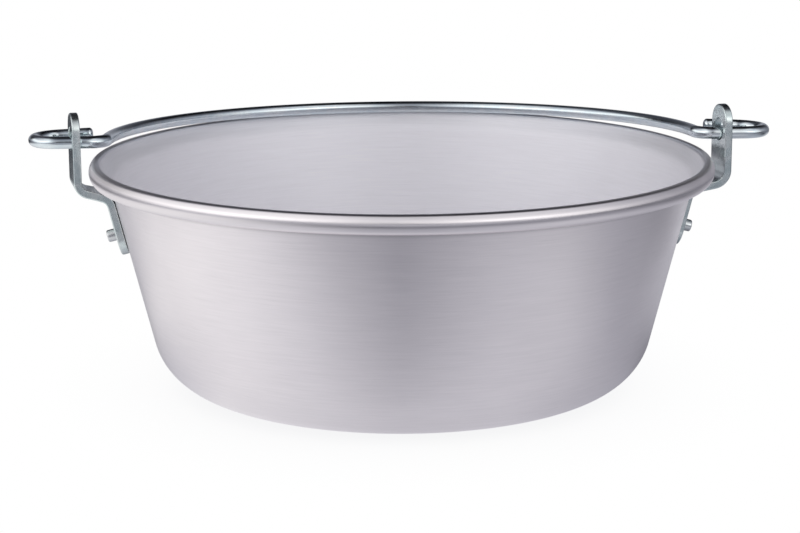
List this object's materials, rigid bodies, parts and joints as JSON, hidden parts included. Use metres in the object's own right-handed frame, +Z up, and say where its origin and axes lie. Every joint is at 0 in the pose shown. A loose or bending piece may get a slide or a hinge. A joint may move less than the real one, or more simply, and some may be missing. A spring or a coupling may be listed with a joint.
{
  "type": "kettle",
  "caption": "Open conical aluminium kettle with a rolled rim, riveted flat-bar brackets and a swinging round-rod bail handle hooked through them.",
  "frame": {"origin": "centre of the flat underside of the base", "axes": "+Z up along the vessel's axis, +X through the right-hand bracket along the bail's swing axis, +Y towards the side of the rim where the bail lies at rest"},
  "size_m": [0.4822, 0.4, 0.1786],
  "materials": {
    "spun_aluminium": "satin, fine rings from spinning",
    "bracket_zinc": "bright zinc plate, slightly blue",
    "bail_zinc": "bright zinc plate, slightly blue",
    "rivet_steel": "zinc plate, hammered tail"
  },
  "bodies": {
    "kettle": {"vessel": "spun_aluminium", "bracket_left": "bracket_zinc", "bracket_right": "bracket_zinc", "rivet_left": "rivet_steel", "rivet_right": "rivet_steel"},
    "bail": {"bail_handle": "bail_zinc"}
  },
  "joints": [
    {"name": "bail_swing", "type": "hinge", "parent": "kettle", "child": "bail", "pos_m": [0, 0, 0.1596], "axis": [1, 0, 0], "range_deg": [0, 184.8]}
  ]
}
